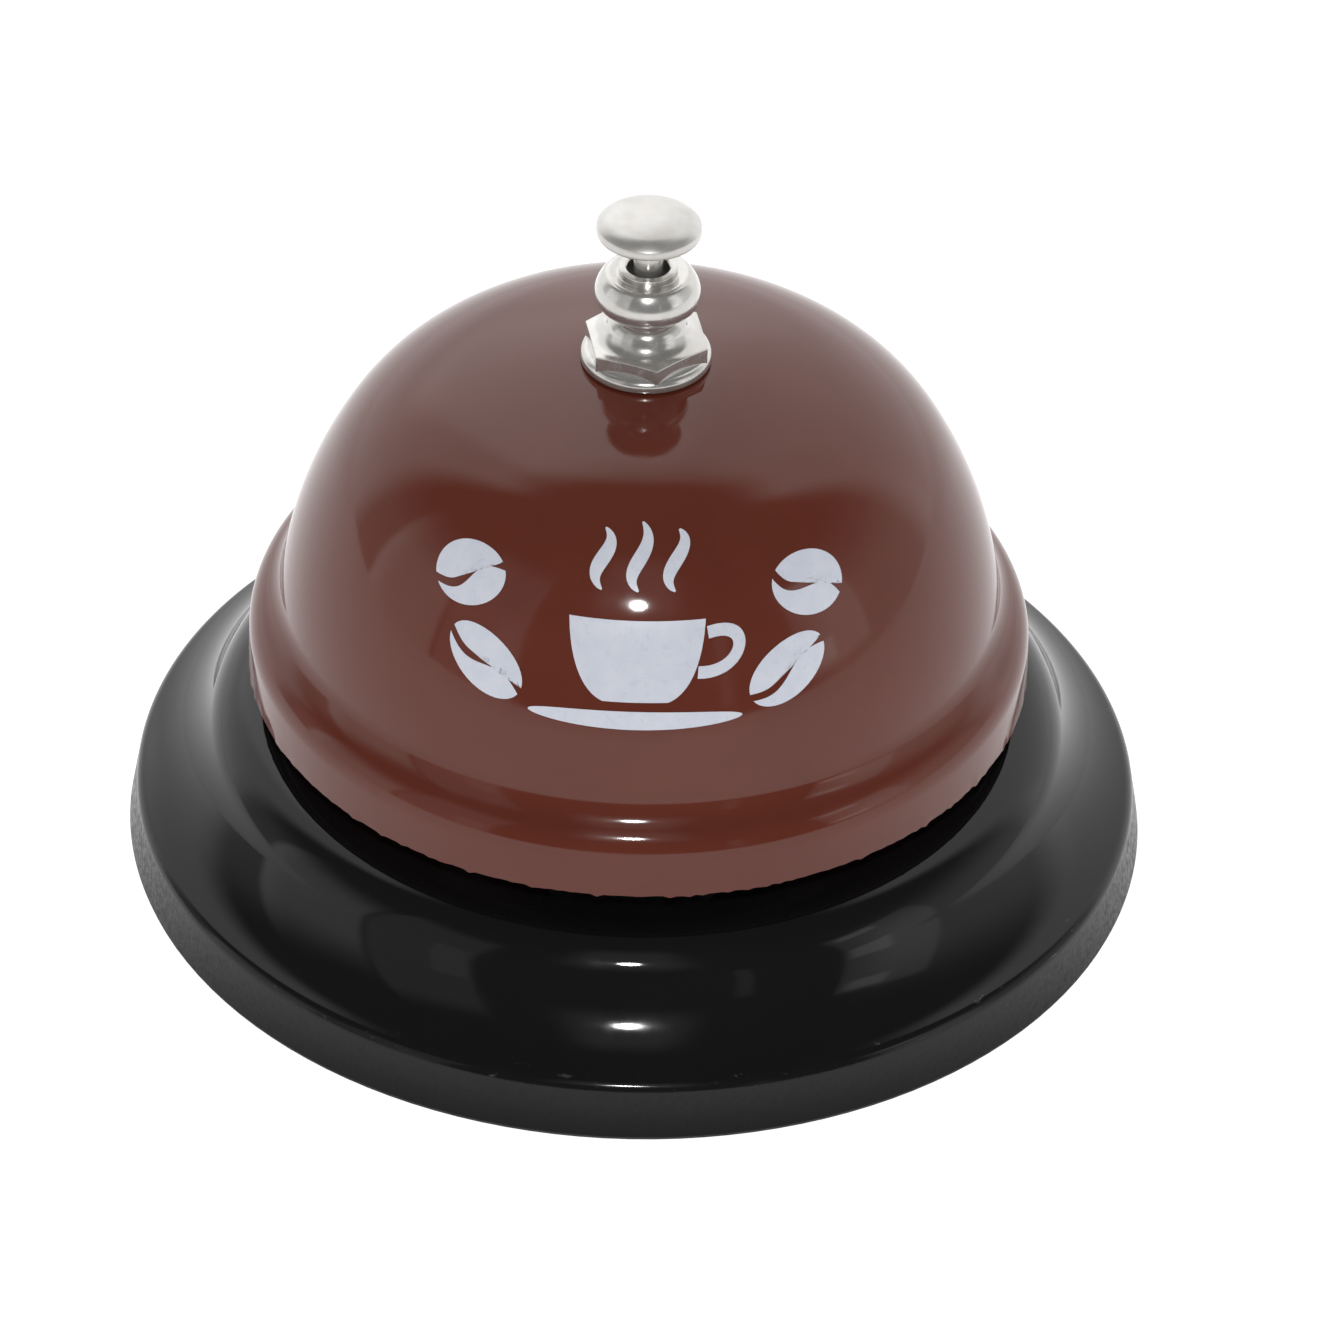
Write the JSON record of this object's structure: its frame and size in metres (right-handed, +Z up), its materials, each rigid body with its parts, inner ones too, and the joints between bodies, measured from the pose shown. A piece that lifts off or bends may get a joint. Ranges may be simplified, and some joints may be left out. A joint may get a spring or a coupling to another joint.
{
  "type": "service bell",
  "caption": "Desk service bell: a flared enamelled bell on a dished round base, with a push button on top that swings a pivoted hammer inside.",
  "frame": {"origin": "middle of the underside, in the plane that the rubber foot ring stands on", "axes": "+Z up along the post and the button's travel, +X towards the hammer, Y along the hammer's pivot pin"},
  "size_m": [0.0848, 0.0848, 0.0603],
  "materials": {
    "black_enamel": "gloss",
    "brown_enamel": "gloss",
    "nickel_plate": "polished",
    "zinc_plate": "satin",
    "turned_steel": "satin",
    "spring_steel": "satin",
    "bush_brass": "satin",
    "foot_rubber": "matte",
    "white_print": "satin",
    "fibre": "matte"
  },
  "bodies": {
    "base": {"base_shell": "black_enamel", "foot_ring": "foot_rubber", "bell_dome": "brown_enamel", "bridge_frame": "zinc_plate", "bridge_rivets": "turned_steel", "post": "turned_steel", "post_lock_washer": "spring_steel", "post_nut": "zinc_plate", "guide_bush": "bush_brass", "dome_seat_washer": "fibre", "top_washer": "fibre", "finial_nut": "nickel_plate", "pivot_pin": "turned_steel", "pivot_pin_clip": "spring_steel", "lever_spacers": "zinc_plate", "return_spring": "spring_steel"},
    "plunger": {"plunger_rod": "nickel_plate", "plunger_collar": "turned_steel", "push_button": "nickel_plate"},
    "striker": {"striker_lever": "zinc_plate", "hammer_head": "turned_steel", "hammer_rivet": "turned_steel"}
  },
  "joints": [
    {"name": "plunger_slide", "type": "slide", "parent": "base", "child": "plunger", "axis": [0, 0, -1], "range_m": [0, 0.0023], "stiffness_N_per_m": 400, "springref_m": -0.003, "deforming": ["return_spring"]},
    {"name": "striker_hinge", "type": "hinge", "parent": "base", "child": "striker", "pos_m": [0.01, 0, 0.028], "axis": [0, -1, 0], "range_deg": [0, 13]}
  ],
  "couplings": [
    {"joint": "striker_hinge", "follows": "plunger_slide", "rad_per_m": 98.6}
  ]
}
